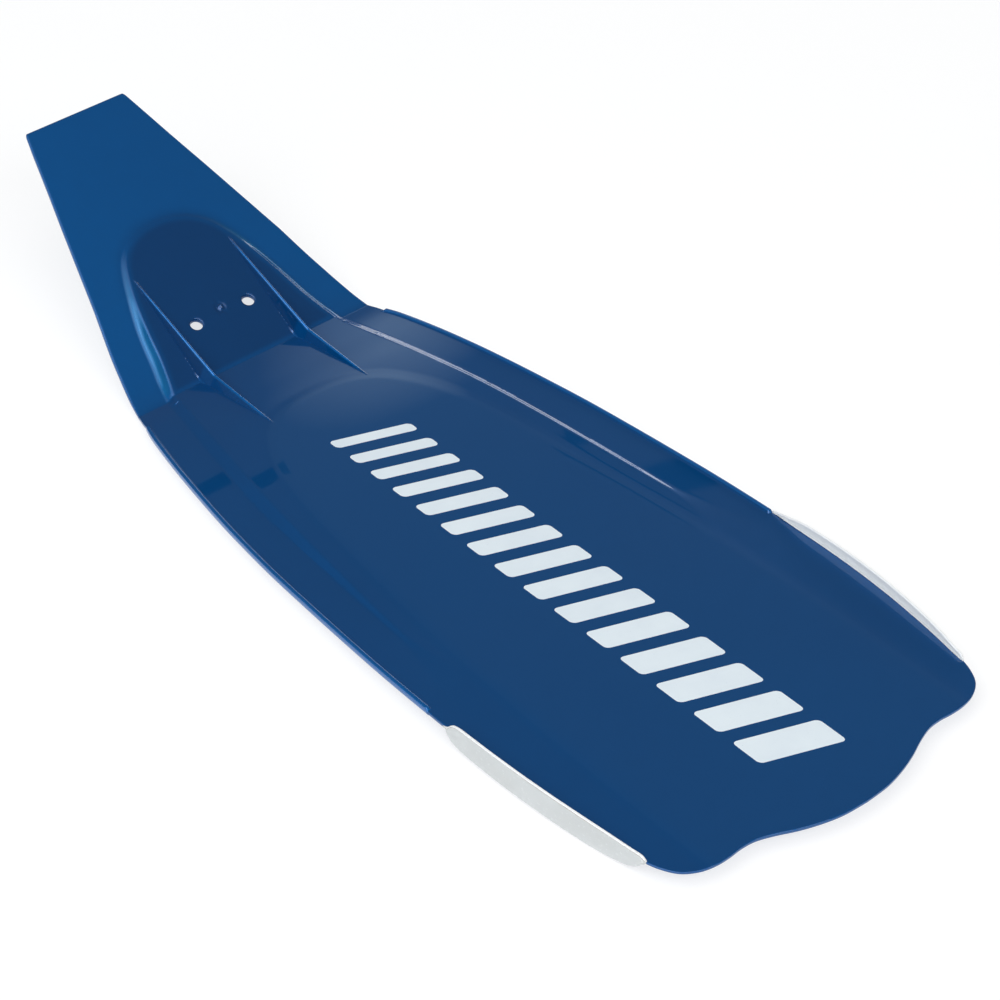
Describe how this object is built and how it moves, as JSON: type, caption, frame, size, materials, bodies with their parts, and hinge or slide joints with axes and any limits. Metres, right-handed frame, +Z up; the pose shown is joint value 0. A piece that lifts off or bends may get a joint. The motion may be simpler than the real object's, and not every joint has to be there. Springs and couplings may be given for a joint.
{
  "type": "swim fin blade",
  "caption": "Short replacement blade of a modular swim fin: bent plastic plate with raised spine, side rails, screw tang and soft pale edge strips.",
  "frame": {"origin": "centre of the blade's bounding box at the level it rests on", "axes": "+X across the blade, +Y along the blade towards the heel tang, +Z up, out of the sole side"},
  "size_m": [0.2004, 0.5374, 0.0729],
  "materials": {
    "blade": "glossy deep blue with a faint moulded ripple",
    "strip": "soft satin off-white elastomer"
  },
  "bodies": {
    "root": {"blade": "blade", "strip_left": "strip", "strip_right": "strip"}
  },
  "joints": []
}
